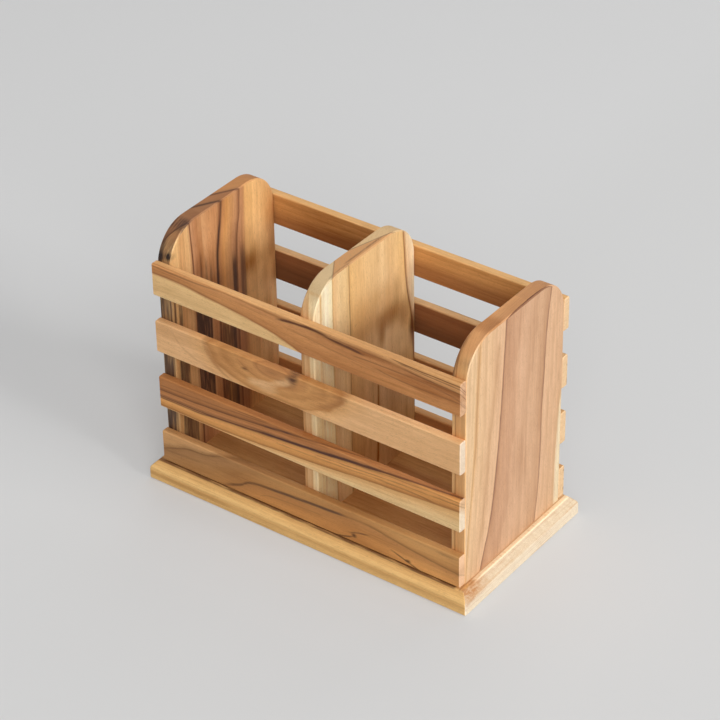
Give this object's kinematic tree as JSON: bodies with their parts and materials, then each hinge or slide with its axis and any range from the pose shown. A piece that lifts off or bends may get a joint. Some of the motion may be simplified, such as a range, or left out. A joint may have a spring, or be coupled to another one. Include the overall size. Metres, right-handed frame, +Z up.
{
  "type": "flatware caddy",
  "caption": "Open teak caddy for flatware: rounded end boards and a divider on a chamfered base, with horizontal slats along both long sides.",
  "frame": {"origin": "middle of the base board's underside, on the table", "axes": "+X along the caddy's length towards the right end board, +Y to the back, +Z up"},
  "size_m": [0.24, 0.1232, 0.1784],
  "materials": {
    "base_board": "satin oiled teak",
    "left_end_board": "satin oiled teak",
    "divider_board": "satin oiled teak",
    "right_end_board": "satin oiled teak",
    "front_slat_1": "satin oiled teak",
    "front_slat_2": "satin oiled teak",
    "front_slat_3": "satin oiled teak",
    "front_slat_4": "satin oiled teak",
    "back_slat_1": "satin oiled teak",
    "back_slat_2": "satin oiled teak",
    "back_slat_3": "satin oiled teak",
    "back_slat_4": "satin oiled teak",
    "base_screws": "yellow zinc plated",
    "slat_pins": "bright galvanised"
  },
  "bodies": {
    "root": {"base_board": "base_board", "left_end_board": "left_end_board", "divider_board": "divider_board", "right_end_board": "right_end_board", "front_slat_1": "front_slat_1", "front_slat_2": "front_slat_2", "front_slat_3": "front_slat_3", "front_slat_4": "front_slat_4", "back_slat_1": "back_slat_1", "back_slat_2": "back_slat_2", "back_slat_3": "back_slat_3", "back_slat_4": "back_slat_4", "base_screws": "base_screws", "slat_pins": "slat_pins"}
  },
  "joints": []
}
